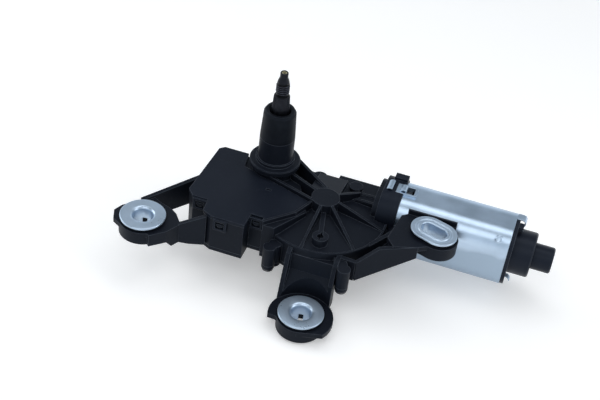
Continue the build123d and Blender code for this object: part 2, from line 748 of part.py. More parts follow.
# Circuit board on its posts, with the parts that drive the motor, and the harness pins
with BuildPart() as circuit_board:
    with BuildSketch(Plane.XY.offset(board_z - board_t)):
        with BuildLine():
            Polyline(*box_outline, close=True)
        make_face()
        offset(amount=-wall - free_gap, kind=Kind.INTERSECTION, mode=Mode.REPLACE)
        with Locations((hub_x, hub_y)):
            Circle(rim_r + free_gap, mode=Mode.SUBTRACT)
        Circle(tower_chamber_r + wall + free_gap, mode=Mode.SUBTRACT)
        with Locations((5.5, box_back)):
            Rectangle(40, 60, align=(Align.MIN, Align.MAX), mode=Mode.SUBTRACT)
    extrude(amount=board_t)
save(circuit_board, "circuit_board")

with BuildPart() as board_components:
    for place, (length, width, height) in board_blocks:
        with BuildSketch(Plane.XY.offset(board_z + seat_gap)):
            with Locations(place):
                Rectangle(length, width)
        extrude(amount=height)
    with BuildSketch(Plane.XY.offset(board_z + seat_gap)):
        with Locations(*capacitor_places):
            Circle(capacitor_r)
    extrude(amount=capacitor_h)
save(board_components, "board_components")

with BuildPart() as connector_socket:
    with BuildSketch(Plane.XZ.offset(-box_back + wall)):
        with Locations((socket_x, socket_z)):
            Rectangle(socket_w, socket_h)
    extrude(amount=-wall - socket_len)
    with BuildSketch(Plane.XZ.offset(-box_back)):
        with Locations((socket_x, socket_z)):
            Rectangle(socket_w - 2 * socket_wall, socket_h - 2 * socket_wall)
    extrude(amount=-socket_len, mode=Mode.SUBTRACT)
    with BuildSketch(Plane.XZ.offset(-box_back + wall)):
        with Locations(*connector_pin_places):
            Rectangle(pin_w + 2 * seat_gap, pin_w + 2 * seat_gap)
    extrude(amount=-wall, mode=Mode.SUBTRACT)
save(connector_socket, "connector_socket")

with BuildPart() as connector_pins:
    with BuildSketch(Plane.XZ.offset(-box_back + wall + 6)):
        with Locations(*connector_pin_places):
            Rectangle(pin_w, pin_w)
    extrude(amount=-wall - 6 - socket_len + 3)
save(connector_pins, "connector_pins")

# Sintered bushes that the spindle turns in
for bush_name, bush_top in (("spindle_bush_upper", upper_bush_top), ("spindle_bush_lower", lower_bush_top)):
    with BuildPart() as spindle_bush:
        with BuildSketch(Plane.XY.offset(bush_top - bush_len)):
            Circle(bush_r)
            Circle(spindle_r + running_gap, mode=Mode.SUBTRACT)
        extrude(amount=bush_len)
    save(spindle_bush, bush_name)

# Spindle: a hollow steel shaft with a knurled taper, an M8 thread and a bare tip
clip_z = upper_bush_top + free_gap
with BuildPart() as spindle:
    with BuildSketch(Plane.XZ):
        with BuildLine():
            Polyline((spindle_bore_r, lever_bottom), (spindle_r, lever_bottom), (spindle_r, clip_z),
                     (clip_groove_r, clip_z), (clip_groove_r, clip_z + clip_t + 0.1),
                     (spindle_r, clip_z + clip_t + 0.1), (spindle_r, knurl_start_z),
                     (knurl_start_r, knurl_start_z + 0.2), (knurl_end_r, knurl_end_z),
                     (neck_r, knurl_end_z), (neck_r, thread_start_z), (thread_r, thread_start_z + 0.4),
                     (thread_r, thread_end_z), (tip_r, cone_end_z), (tip_r, tip_z - 0.3),
                     (tip_r - 0.3, tip_z), (spindle_bore_r, tip_z), close=True)
        make_face()
    revolve(axis=Axis.Z)
save(spindle, "spindle")

with BuildPart() as spindle_clip:
    with BuildSketch(Plane.XY.offset(clip_z + 0.05)):
        Circle(tower_recess_r - 0.3)
        Circle(clip_groove_r + seat_gap, mode=Mode.SUBTRACT)
    extrude(amount=clip_t)
save(spindle_clip, "spindle_clip")

with BuildPart() as spindle_seal:
    with BuildSketch(Plane.XY.offset(clip_z + clip_t + 1.0)):
        Circle(tower_recess_r - seat_gap)
        Circle(spindle_r + running_gap, mode=Mode.SUBTRACT)
    extrude(amount=seal_t)
save(spindle_seal, "spindle_seal")

# Rubber sleeve over the tower, with its lip turned in over the top
with BuildPart() as tower_sleeve:
    with BuildSketch(Plane.XZ):
        with BuildLine():
            Polyline((tower_tube_r + seat_gap, tower_seam_z + seat_gap),
                     (tower_foot_r, tower_seam_z + seat_gap), (tower_top_r, tower_top_z - 1.2),
                     (tower_top_r - 1.0, tower_top_z + 0.4), (tower_recess_r + 0.6, tower_top_z + 0.4),
                     (tower_recess_r + 0.2, tower_top_z - 0.45),
                     (tower_tube_r + seat_gap, tower_top_z - 0.45), close=True)
        make_face()
    revolve(axis=Axis.Z)
save(tower_sleeve, "tower_sleeve")

# Brass tube that carries washer water up through the spindle
with BuildPart() as water_tube:
    with BuildSketch(Plane.XY.offset(cover_foot - nipple_len + 0.5)):
        Circle(water_tube_r)
        Circle(water_tube_bore_r, mode=Mode.SUBTRACT)
    extrude(amount=tip_z - 0.4 - cover_foot + nipple_len - 0.5)
save(water_tube, "water_tube")

# Lever pressed on the foot of the spindle, with the pin for the link
with BuildPart() as spindle_lever:
    with BuildSketch(Plane.XY.offset(lever_bottom)):
        Circle(spindle_r + 3.0)
        with Locations(lever_pin):
            Circle(lever_pin_r + 1.6)
        with Locations(Location((0, 0, 0), (0, 0, lever_angle))):
            Rectangle(lever_len, lever_w - 1, align=(Align.MIN, Align.CENTER))
        Circle(spindle_r + seat_gap, mode=Mode.SUBTRACT)
    extrude(amount=lever_t)
    with BuildSketch(Plane.XY.offset(link_top - link_t)):
        with Locations(lever_pin):
            Circle(lever_pin_r)
    extrude(amount=lever_bottom - link_top + link_t)
save(spindle_lever, "spindle_lever")

# Spacer on the spindle between the lever and the lower bush
with BuildPart() as spindle_spacer:
    with BuildSketch(Plane.XY.offset(lever_bottom + lever_t + seat_gap)):
        Circle(spacer_r)
        Circle(spindle_r + seat_gap, mode=Mode.SUBTRACT)
    extrude(amount=lower_bush_top - bush_len - 0.3 - lever_bottom - lever_t - seat_gap)
save(spindle_spacer, "spindle_spacer")

# Link from the lever's pin to the wheel's crank pin
link_angle = degrees(atan((crank_pin[1] - lever_pin[1]) / (crank_pin[0] - lever_pin[0])))
with BuildPart() as drive_link:
    with BuildSketch(Plane.XY.offset(link_top - link_t)):
        with Locations(lever_pin, crank_pin):
            Circle(lever_pin_r + 2.1)
        with Locations(Location((lever_pin[0], lever_pin[1], 0), (0, 0, link_angle))):
            Rectangle(span(lever_pin, crank_pin), link_w - 1, align=(Align.MIN, Align.CENTER))
        with Locations(lever_pin, crank_pin):
            Circle(lever_pin_r + running_gap, mode=Mode.SUBTRACT)
    extrude(amount=link_t)
save(drive_link, "drive_link")

# Worm wheel: teeth leaning with the worm's thread, round a plain rim
tooth_tip_r = wheel_r + gear_module * 0.875
tooth_root_r = wheel_r - gear_module * 1.2
tooth_w = pitch * thread_share
tooth_plane = Plane(origin=(hub_x, hub_y, motor_z), x_dir=(0, 1, 0),
                    z_dir=(-sin(radians(lead_angle)), 0, cos(radians(lead_angle))))
with BuildPart() as tooth:
    with BuildSketch(tooth_plane):
        with BuildLine():
            Polyline((tooth_root_r - 0.4, -tooth_w * 0.75), (tooth_root_r - 0.4, tooth_w * 0.75),
                     (tooth_tip_r, tooth_w * 0.28), (tooth_tip_r, -tooth_w * 0.28), close=True)
        make_face()
    extrude(amount=wheel_t / 2, both=True)
with BuildPart() as worm_wheel:
    with BuildSketch(Plane.XY.offset(wheel_bottom)):
        with Locations((hub_x, hub_y)):
            Circle(tooth_root_r)
    extrude(amount=wheel_t)
    wheel_axis = Axis((hub_x, hub_y, 0), (0, 0, 1))
    add([tooth.part.rotate(wheel_axis, index * 360 / wheel_teeth) for index in range(wheel_teeth)])
    with BuildSketch(Plane.XY.offset(wheel_bottom)):
        with Locations((hub_x, hub_y)):
            Circle(axle_r + running_gap)
    extrude(amount=wheel_t, mode=Mode.SUBTRACT)
    with BuildSketch(Plane.XY.offset(wheel_bottom)):
        with Locations(crank_pin):
            Circle(crank_pin_r + seat_gap)
    extrude(amount=wheel_t - 2, mode=Mode.SUBTRACT)
save(worm_wheel, "worm_wheel")

with BuildPart() as crank_pin_stub:
    with BuildSketch(Plane.XY.offset(wheel_bottom - crank_pin_rise)):
        with Locations(crank_pin):
            Circle(crank_pin_r)
    extrude(amount=crank_pin_rise + wheel_t - 2 - seat_gap)
save(crank_pin_stub, "crank_pin")

with BuildPart() as wheel_axle:
    with BuildSketch(Plane.XY.offset(wheel_bottom - 0.3)):
        with Locations((hub_x, hub_y)):
            Circle(axle_r)
    extrude(amount=axle_top - 0.1 - wheel_bottom + 0.3)
save(wheel_axle, "wheel_axle")

# Armature: the shaft with its worm thread, the lamination stack, windings and commutator
worm_start = hub_x - worm_turns * pitch / 2
worm_plane = Plane(origin=(worm_start, worm_y, motor_z), x_dir=(0, -1, 0), z_dir=(1, 0, 0))
with BuildPart() as worm_thread:
    with BuildLine() as thread_path:
        Helix(pitch=pitch, height=pitch * worm_turns, radius=worm_core_r - 0.1)
    with BuildSketch(Plane(origin=thread_path.line @ 0, x_dir=(0, 0, 1), z_dir=thread_path.line % 0)):
        with BuildLine():
            Polyline((-tooth_w * 0.82, 0), (tooth_w * 0.82, 0), (tooth_w * 0.3, 1.7),
                     (-tooth_w * 0.3, 1.7), close=True)
        make_face()
    sweep(path=thread_path.line, is_frenet=True)
with BuildPart() as armature_shaft:
    with BuildSketch(motor_plane(shaft_start)):
        Circle(shaft_r)
    extrude(amount=shaft_end - shaft_start)
    with BuildSketch(motor_plane(worm_start - pitch)):
        Circle(worm_core_r)
    extrude(amount=(worm_turns + 2) * pitch)
    add(worm_thread.part.moved(worm_plane.location))
save(armature_shaft, "armature_shaft")

slot_count = 8
with BuildPart() as armature_stack:
    with BuildSketch(motor_plane(stack_start)):
        Circle(stack_r)
        Circle(shaft_r + seat_gap, mode=Mode.SUBTRACT)
        with PolarLocations(stack_r - 1.8, slot_count):
            Rectangle(5.0, 1.8, mode=Mode.SUBTRACT)
    extrude(amount=stack_len)
save(armature_stack, "armature_stack")

with BuildPart() as windings:
    for start in (stack_start - winding_len - seat_gap, stack_start + stack_len + seat_gap):
        with BuildSketch(motor_plane(start)):
            Circle(winding_r)
            Circle(shaft_r + 0.6, mode=Mode.SUBTRACT)
        extrude(amount=winding_len)
save(windings, "windings")

with BuildPart() as commutator:
    with BuildSketch(motor_plane(commutator_start)):
        Circle(commutator_r)
        Circle(shaft_r + seat_gap, mode=Mode.SUBTRACT)
        with PolarLocations(commutator_r, slot_count, start_angle=22.5):
            Rectangle(1.6, 0.5, mode=Mode.SUBTRACT)
    extrude(amount=commutator_len)
save(commutator, "commutator")

# Bearings of the armature, and the pad that takes its thrust
for bearing_name, bearing_x, bearing_len in (("front_bearing", front_bearing_x, front_bearing_len),
                                             ("rear_bearing", rear_bearing_x, rear_bearing_len)):
    with BuildPart() as bearing:
        with BuildSketch(motor_plane(bearing_x)):
            Circle(bearing_r)
            Circle(shaft_r + running_gap, mode=Mode.SUBTRACT)
        extrude(amount=bearing_len)
    save(bearing, bearing_name)

with BuildPart() as thrust_ball:
    with BuildSketch(motor_plane(shaft_end + 0.1)):
        Circle(shaft_r)
    extrude(amount=thrust_len)
save(thrust_ball, "thrust_ball")

# Motor can: a drawn zinc-plated tube with flat sides, and the tab that hooks over the holder
with BuildPart() as motor_can:
    with BuildSketch(motor_plane(can_start)):
        RectangleRounded(can_w, can_h, can_corner)
        RectangleRounded(can_w - 2 * can_wall, can_h - 2 * can_wall, can_corner - can_wall,
                         mode=Mode.SUBTRACT)
    extrude(amount=can_end - can_start)
    with BuildSketch(Plane.XY.offset(motor_z + can_h / 2)):
        with Locations((can_start - can_tab_over, worm_y)):
            Rectangle(can_tab_len, can_tab_w, align=(Align.MIN, Align.CENTER))
    extrude(amount=can_tab_t)
    with BuildSketch(Plane.XY.offset(motor_z + can_h / 2 - can_wall)):
        with Locations((can_start + 1.4, worm_y)):
            Rectangle(can_window_len, can_window_w, align=(Align.MIN, Align.CENTER))
    extrude(amount=can_wall + can_tab_t, mode=Mode.SUBTRACT)
save(motor_can, "motor_can")

# Ferrite magnets above and below the armature
with BuildPart() as magnets:
    with BuildSketch(motor_plane(magnet_start)):
        RectangleRounded(can_w - 2 * can_wall - 2 * seat_gap, can_h - 2 * can_wall - 2 * seat_gap,
                         can_corner - can_wall)
        Circle(stack_r + air_gap, mode=Mode.SUBTRACT)
        for side in (-1, 1):
            with BuildLine():
                Polyline((0, 0), (side * can_w, can_w / tan(radians(magnet_half_angle))),
                         (side * can_w, -can_w / tan(radians(magnet_half_angle))), close=True)
            make_face(mode=Mode.SUBTRACT)
    extrude(amount=magnet_len)
save(magnets, "magnets")

# Brush holder: the black block that joins the motor to the gearbox, hollow towards the can
holder_wall = 3.0
holder_end = can_start - seat_gap
with BuildPart() as brush_holder:
    with BuildSketch(motor_plane(holder_start + seat_gap)):
        RectangleRounded(can_w + 2 * holder_grow, can_h + 2 * holder_grow, can_corner + holder_grow)
        Circle(bearing_r + 1, mode=Mode.SUBTRACT)
    extrude(amount=holder_end - holder_start - seat_gap)
    with BuildSketch(motor_plane(holder_start + holder_wall)):
        RectangleRounded(can_w - 2 * holder_wall, can_h - 2 * holder_wall, can_corner - holder_wall)
        Circle(bearing_r + 3, mode=Mode.SUBTRACT)
    extrude(amount=can_start, mode=Mode.SUBTRACT)
    with BuildSketch(Plane.XY.offset(motor_z + can_h / 2 - 0.5)):
        with Locations((can_start - 8.0, worm_y + 9.2)):
            Rectangle(8.0 - seat_gap, 4.6, align=(Align.MIN, Align.CENTER))
    extrude(amount=3.4)
    with BuildSketch(Plane.XY.offset(motor_z + can_h / 2)):
        with Locations((can_start - can_tab_over - 0.1, worm_y)):
            Rectangle(6.0, can_tab_w + 0.2, align=(Align.MIN, Align.CENTER))
    extrude(amount=4, mode=Mode.SUBTRACT)
save(brush_holder, "brush_holder")

# Brush plate inside the can's mouth, with a guide for each brush
guide_start = commutator_start + (commutator_len - brush_w) / 2 - seat_gap
guide_len = can_w / 2 - can_wall - 2 * seat_gap - commutator_r - 1.3
with BuildPart() as brush_plate:
    with BuildSketch(motor_plane(can_start + 0.6)):
        RectangleRounded(can_w - 2 * can_wall - 2 * seat_gap, can_h - 2 * can_wall - 2 * seat_gap,
                         can_corner - can_wall)
        Circle(commutator_r + 0.6, mode=Mode.SUBTRACT)
    extrude(amount=guide_start - can_start - 0.6)
    with BuildSketch(motor_plane(guide_start)):
        for side in (-1, 1):
            with Locations((side * (commutator_r + 1.3 + guide_len / 2), 0)):
                Rectangle(guide_len, 6.2)
                Rectangle(guide_len, 4.1, mode=Mode.SUBTRACT)
    extrude(amount=brush_w + 1)
save(brush_plate, "brush_plate")

with BuildPart() as brushes:
    with BuildSketch(motor_plane(guide_start + seat_gap)):
        for side in (-1, 1):
            with Locations((side * (commutator_r + running_gap + brush_len / 2), 0)):
                Rectangle(brush_len, 4.0)
    extrude(amount=brush_w)
save(brushes, "brushes")

with BuildPart() as brush_springs:
    for side in (-1, 1):
        with BuildSketch(Plane(origin=(guide_start + seat_gap + brush_w / 2, worm_y, motor_z),
                               x_dir=(1, 0, 0), z_dir=(0, side, 0)).offset(commutator_r + brush_len + 0.1)):
            Circle(spring_r)
            Circle(spring_r - spring_wire, mode=Mode.SUBTRACT)
        extrude(amount=can_w / 2 - can_wall - commutator_r - brush_len - 0.4)
save(brush_springs, "brush_springs")

with BuildPart() as choke_coils:
    with BuildSketch(motor_plane(holder_start + holder_wall + seat_gap)):
        with Locations((choke_y, terminal_z), (choke_y, -terminal_z)):
            Circle(choke_r)
    extrude(amount=choke_len)
save(choke_coils, "choke_coils")

with BuildPart() as motor_terminals:
    with BuildSketch(motor_plane(holder_start + holder_wall + seat_gap)):
        with Locations((terminal_y, terminal_z), (terminal_y, -terminal_z)):
            Rectangle(terminal_t, terminal_w)
    extrude(amount=can_start + 0.5 - holder_start - holder_wall)
save(motor_terminals, "motor_terminals")

# End cap: a plate on the can's end, the bearing's drum, and the stepped nose
plate_end = can_end + end_plate_t
drum_end = plate_end + drum_len
nose_end = drum_end + nose_len
with BuildPart() as end_cap:
    with BuildSketch(motor_plane(can_end + seat_gap)):
        RectangleRounded(can_w - 0.8, can_h - 0.8, can_corner - 0.4)
    extrude(amount=end_plate_t - seat_gap)
    with BuildSketch(Plane.XY.offset(motor_z + can_h / 2 - 4.0)):
        with Locations((plate_end - 0.2, worm_y)):
            Rectangle(3.0, 4.4, align=(Align.MIN, Align.CENTER))
    extrude(amount=3.2)
    with BuildSketch(motor_plane(can_end - 3.0)):
        RectangleRounded(can_w - 2 * can_wall - 2 * seat_gap, can_h - 2 * can_wall - 2 * seat_gap,
                         can_corner - can_wall)
        RectangleRounded(can_w - 4 * can_wall, can_h - 4 * can_wall, can_corner - 2 * can_wall,
                         mode=Mode.SUBTRACT)
    extrude(amount=3.1)
    with BuildSketch(Plane.XY.offset(motor_z)):
        with BuildLine():
            Polyline((plate_end - 1, worm_y), (plate_end - 1, worm_y + drum_r),
                     (drum_end - end_round, worm_y + drum_r), (drum_end, worm_y + drum_r - end_round),
                     (drum_end, worm_y + nose_r + 1.6), (drum_end - 0.6, worm_y + nose_r + 0.8),
                     (drum_end - 0.6, worm_y + nose_r), (nose_end - end_round, worm_y + nose_r),
                     (nose_end, worm_y + nose_r - end_round), (nose_end, worm_y), close=True)
        make_face()
    revolve(axis=Axis((0, worm_y, motor_z), (1, 0, 0)))
    with BuildSketch(motor_plane(can_end)):
        Circle(bearing_r + seat_gap)
    extrude(amount=rear_bearing_x + rear_bearing_len + seat_gap - can_end, mode=Mode.SUBTRACT)
    with BuildSketch(motor_plane(can_end)):
        Circle(shaft_r + free_gap)
    extrude(amount=shaft_end + 0.1 + thrust_len - can_end, mode=Mode.SUBTRACT)
save(end_cap, "end_cap")

# Pressed steel clip that lies on top of the holder and earths the can
with BuildPart() as earth_clip:
    with BuildSketch(Plane.XY.offset(motor_z + can_h / 2 + holder_grow + seat_gap)):
        with Locations((holder_start + 3.4, worm_y - 0.4)):
            Rectangle(earth_clip_len, earth_clip_w)
    extrude(amount=earth_clip_t)
save(earth_clip, "earth_clip")

# Grommets and bushes of the two round lugs
for side, lug, top in (("left", left_lug, left_lug_top), ("front", front_lug, front_lug_top)):
    lip_top = top - washer_t
    plate_top = lip_top - rubber_lip_t
    with BuildPart() as grommet:
        with BuildSketch(Plane.XZ.offset(-lug[1])):
            with BuildLine():
                Polyline((lug[0] + bore_r + bush_wall + seat_gap, lip_top - seat_gap),
                         (lug[0] + rubber_lip_r, lip_top - seat_gap),
                         (lug[0] + rubber_lip_r, plate_top + seat_gap),
                         (lug[0] + rubber_neck_r, plate_top + seat_gap),
                         (lug[0] + rubber_neck_r, plate_top - plate_t - seat_gap),
                         (lug[0] + rubber_lip_r, plate_top - plate_t - seat_gap),
                         (lug[0] + rubber_lip_r, plate_top - plate_t - rubber_lip_t),
                         (lug[0] + bore_r + bush_wall + seat_gap, plate_top - plate_t - rubber_lip_t),
                         close=True)
            make_face()
        revolve(axis=Axis((lug[0], lug[1], 0), (0, 0, 1)))
    save(grommet, "grommet_" + side)
    with BuildPart() as lug_bush:
        with BuildSketch(Plane.XZ.offset(-lug[1])):
            with BuildLine():
                Polyline((lug[0] + bore_r, top - bush_h), (lug[0] + bore_r + bush_wall, top - bush_h),
                         (lug[0] + bore_r + bush_wall, top - washer_t), (lug[0] + washer_r, top - washer_t),
                         (lug[0] + washer_r, top - 0.3), (lug[0] + washer_r - 0.3, top),
                         (lug[0] + bore_r + 1.5, top), (lug[0] + bore_r + 0.45, top - 0.45),
                         (lug[0] + bore_r, top - 1.5), close=True)
            make_face()
        revolve(axis=Axis((lug[0], lug[1], 0), (0, 0, 1)))
    save(lug_bush, "bush_" + side)

# Grommet and bush of the slotted lug
right_lip_top = right_lug_top - washer_t
with BuildPart() as grommet_right:
    for radius, z_low, z_high in (
            (slot_washer_r - 0.8, right_plate_top + seat_gap, right_lip_top - seat_gap),
            (slot_neck_r, right_floor - seat_gap, right_plate_top + seat_gap),
            (slot_washer_r - 0.8, right_floor - rubber_lip_t, right_floor - seat_gap)):
        with BuildSketch(Plane.XY.offset(z_low)):
            with Locations(right_seat):
                SlotCenterToCenter(2 * slot_half, 2 * radius)
                SlotCenterToCenter(2 * slot_half, 2 * (slot_bore_r + bush_wall + seat_gap),
                                   mode=Mode.SUBTRACT)
        extrude(amount=z_high - z_low)
save(grommet_right, "grommet_right")

with BuildPart() as bush_right:
    with BuildSketch(Plane.XY.offset(right_lip_top)):
        with Locations(right_seat):
            SlotCenterToCenter(2 * slot_half, 2 * slot_washer_r)
    extrude(amount=washer_t)
    with BuildSketch(Plane.XY.offset(right_lug_top - bush_h)):
        with Locations(right_seat):
            SlotCenterToCenter(2 * slot_half, 2 * (slot_bore_r + bush_wall))
    extrude(amount=bush_h - washer_t)
    with BuildSketch(Plane.XY.offset(right_lug_top - bush_h)):
        with Locations(right_seat):
            SlotCenterToCenter(2 * slot_half, 2 * slot_bore_r)
    extrude(amount=bush_h, mode=Mode.SUBTRACT)
save(bush_right, "bush_right")
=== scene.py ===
from math import cos, pi, radians, sin, tan

import bmesh
import bpy
from mathutils import Matrix, Vector


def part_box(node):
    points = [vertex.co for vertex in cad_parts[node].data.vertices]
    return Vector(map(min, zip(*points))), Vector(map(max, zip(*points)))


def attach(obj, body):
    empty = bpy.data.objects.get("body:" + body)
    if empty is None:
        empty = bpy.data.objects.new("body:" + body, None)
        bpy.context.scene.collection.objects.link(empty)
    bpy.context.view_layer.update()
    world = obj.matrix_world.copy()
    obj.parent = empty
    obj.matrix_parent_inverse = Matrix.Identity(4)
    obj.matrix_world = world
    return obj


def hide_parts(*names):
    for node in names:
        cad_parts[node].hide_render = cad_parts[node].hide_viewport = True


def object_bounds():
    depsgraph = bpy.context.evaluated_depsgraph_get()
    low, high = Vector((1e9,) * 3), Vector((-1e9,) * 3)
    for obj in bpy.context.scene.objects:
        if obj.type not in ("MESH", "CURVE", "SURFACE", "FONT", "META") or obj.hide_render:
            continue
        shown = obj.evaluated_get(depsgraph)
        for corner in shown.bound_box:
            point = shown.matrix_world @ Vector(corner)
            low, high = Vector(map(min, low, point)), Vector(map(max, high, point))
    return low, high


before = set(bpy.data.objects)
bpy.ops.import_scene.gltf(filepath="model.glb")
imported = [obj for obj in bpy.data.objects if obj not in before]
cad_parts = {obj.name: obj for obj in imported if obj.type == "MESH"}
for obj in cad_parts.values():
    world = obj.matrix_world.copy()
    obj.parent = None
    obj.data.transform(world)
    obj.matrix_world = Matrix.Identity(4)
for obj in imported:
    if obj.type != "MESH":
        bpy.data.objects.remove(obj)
cad_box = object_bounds()

# Camera, lamps and table of a product picture: a long lens looks down on the part from the
# front, tilted a little. Wide soft lamps hang over the camera and the part, and two fill the sides.
photo_width = 600
focal_pixels = 1175
sensor_mm = 36.0
camera_place = Vector((0.14712, -0.52898, 0.416))
camera_turns = ((radians(13.7), "Z"), (radians(90 - 39.06), "X"), (radians(7.5), "Z"))
lamps = (("front_softbox", (-0.06, -0.62, 0.74), (0.8, 0.55), 2.1),
         ("top_softbox", (0.1, 0.12, 0.8), (0.9, 0.4), 1.9),
         ("left_softbox", (-0.75, 0.05, 0.42), (0.5, 0.5), 1.6),
         ("right_softbox", (0.8, -0.05, 0.4), (0.4, 0.6), 1.5))
lamp_aim = Vector((0.045, -0.03, -0.01))
room_light = (0.86, 0.93, 1.0, 1.0)
room_level = 0.36
zenith_level = 0.4
paper_white = 0.93
paper_glow = 0.28
far_glow = 0.7
far_floor = (0.35, 1.3)
horizon = (0.15, 0.7)
white = (1.0, 1.0, 1.0, 1.0)
fibre_scale = 900.0
clip_near = 0.01
floor_drop = 0.0006
floor_half = 3.0

camera_data = bpy.data.cameras.new("camera")
camera_data.sensor_fit = "HORIZONTAL"
camera_data.sensor_width = sensor_mm
camera_data.lens = focal_pixels / photo_width * sensor_mm
camera_data.clip_start = clip_near
camera = bpy.data.objects.new("camera", camera_data)
bpy.context.collection.objects.link(camera)
camera.matrix_world = Matrix.Translation(camera_place)
for angle, axis in camera_turns:
    camera.matrix_world = camera.matrix_world @ Matrix.Rotation(angle, 4, axis)
bpy.context.scene.camera = camera
bpy.context.scene.view_settings.view_transform = "Standard"

for name, place, size, watts in lamps:
    softbox = bpy.data.lights.new(name, "AREA")
    softbox.shape = "RECTANGLE"
    softbox.size, softbox.size_y = size
    softbox.energy = watts
    hung = bpy.data.objects.new(name, softbox)
    bpy.context.collection.objects.link(hung)
    aim = (lamp_aim - Vector(place)).to_track_quat("-Z", "Y").to_matrix().to_4x4()
    hung.matrix_world = Matrix.Translation(place) @ aim


class Shade:
    """A value in a material's nodes. Arithmetic on it adds Math nodes, node() any other."""

    def __init__(self, tree, socket=None):
        self.tree = tree
        self.socket = socket

    def node(self, kind, settings, sockets, output=0):
        made = self.tree.nodes.new("ShaderNode" + kind)
        for name, value in settings.items():
            setattr(made, name, value)
        for name, value in sockets.items():
            if isinstance(value, Shade):
                self.tree.links.new(value.socket, made.inputs[name])
            else:
                made.inputs[name].default_value = value
        return Shade(self.tree, made.outputs[output]) if made.outputs else None

    def math(self, operation, first, second):
        return self.node("Math", {"operation": operation}, {0: first, 1: second})

    def __add__(self, other):
        return self.math("ADD", self, other)

    def __radd__(self, other):
        return self.math("ADD", other, self)

    def __sub__(self, other):
        return self.math("SUBTRACT", self, other)

    def __rsub__(self, other):
        return self.math("SUBTRACT", other, self)

    def __mul__(self, other):
        return self.math("MULTIPLY", self, other)

    def __rmul__(self, other):
        return self.math("MULTIPLY", other, self)

    def ramp(self, low, high, start=0.0, end=1.0):
        """A smooth step from start to end as this value goes from low to high."""
        return self.node("MapRange", {"interpolation_type": "SMOOTHSTEP"},
                         {"Value": self, "From Min": low, "From Max": high,
                          "To Min": start, "To Max": end})

    def between(self, low, high):
        """A colour between two, by this value from 0 to 1."""
        return self.node("Mix", {"data_type": "RGBA"},
                         {0: self, 6: (*low, 1.0), 7: (*high, 1.0)}, 2)

    def noise(self, place, scale, detail=2.0, stretch=(1.0, 1.0, 1.0)):
        spread = self.node("Mapping", {}, {"Vector": place, "Scale": stretch})
        return self.node("TexNoise", {},
                         {"Vector": spread, "Scale": scale, "Detail": detail}, "Fac")

    def bump(self, height, strength, depth, normal):
        return self.node("Bump", {}, {"Height": height, "Strength": strength, "Distance": depth,
                                      "Normal": normal})


def seen_directly(shade):
    """One for rays from the camera and for mirror and glass rays, and zero for scattered light."""
    return (shade.node("LightPath", {}, {}, "Is Camera Ray")
            + shade.node("LightPath", {}, {}, "Is Glossy Ray")
            + shade.node("LightPath", {}, {}, "Is Transmission Ray"))


world = bpy.data.worlds.new("studio")
world.use_nodes = True
world.node_tree.nodes.clear()
air = Shade(world.node_tree)
height = air.node("SeparateXYZ", {}, {"Vector": air.node("TexCoord", {}, {}, "Generated")}, "Z")
in_view = air.node("LightPath", {}, {}, "Is Camera Ray")
mirrored = air.node("Background", {}, {"Color": room_light,
                                       "Strength": height.ramp(*horizon, 1.0, zenith_level)})
plain = air.node("Background", {}, {"Color": white, "Strength": 1.0})
backdrop = air.node("MixShader", {}, {0: in_view, 1: mirrored, 2: plain})
room = air.node("Background", {}, {"Color": room_light, "Strength": room_level})
sky = air.node("MixShader", {}, {0: seen_directly(air), 1: room, 2: backdrop})
air.node("OutputWorld", {}, {"Surface": sky})
bpy.context.scene.world = world

table_z = cad_box[0][2] - floor_drop
table_mesh = bpy.data.meshes.new("table")
table_mesh.from_pydata([(-floor_half, -floor_half, table_z), (floor_half, -floor_half, table_z),
                        (floor_half, floor_half, table_z), (-floor_half, floor_half, table_z)], [],
                       [(0, 1, 2, 3)])
table = bpy.data.objects.new("table", table_mesh)
bpy.context.collection.objects.link(table)
paper = bpy.data.materials.new("white_paper")
paper.use_nodes = True
paper.node_tree.nodes.clear()
sheet = Shade(paper.node_tree)
on_sheet = sheet.node("TexCoord", {}, {}, "Object")
fibre = sheet.noise(on_sheet, fibre_scale)
reach = sheet.node("VectorMath", {"operation": "LENGTH"}, {0: on_sheet}, "Value")
lift = paper_glow + reach.ramp(*far_floor, 0.0, far_glow)
matt = sheet.node("BsdfPrincipled", {}, {"Base Color": (paper_white, paper_white, paper_white, 1.0),
                                         "Roughness": 0.8 + 0.1 * fibre, "Specular IOR Level": 0.1})
glow = sheet.node("Emission", {}, {"Color": white, "Strength": lift * seen_directly(sheet)})
sheet.node("OutputMaterial", {}, {"Surface": sheet.node("AddShader", {}, {0: matt, 1: glow})})
table_mesh.materials.append(paper)

# Gearbox housing, spindle tower and bottom cover: one black moulded plastic. The skin is satin
# with a fine grain and cloudy, and its edges are painted paler as highlights.
moulded_black = (0.0044, 0.006, 0.0108)
# The pale end serves the skin's cloud and dust and the highlights painted on its edges.
highlight_and_tone_black = (0.13, 0.15, 0.185)
cool_sheen = (0.72, 0.84, 1.0, 1.0)
edge_samples = 8
edge_band = (0.01, 0.18)
edge_radius = 0.0006
edge_highlight_level = 0.22
edge_highlight_cloud = 0.45
cloud_fade = 0.05
cloud_scale = 38.0
dust_fade = 0.03
dust_scale = 420.0
dust_band = (0.6, 0.75)


def surface(name, constants, sockets):
    """A material with one Principled shader: sockets vary over the surface, constants don't."""
    made = bpy.data.materials.new(name)
    made.use_nodes = True
    made.node_tree.nodes.clear()
    shade = Shade(made.node_tree)
    shader = shade.node("BsdfPrincipled", {}, {**constants, **sockets(shade)})
    shade.node("OutputMaterial", {}, {"Surface": shader})
    return made


def dress(material, *nodes):
    """Gives CAD nodes their finish."""
    for name in nodes:
        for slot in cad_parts[name].material_slots:
            slot.material = material


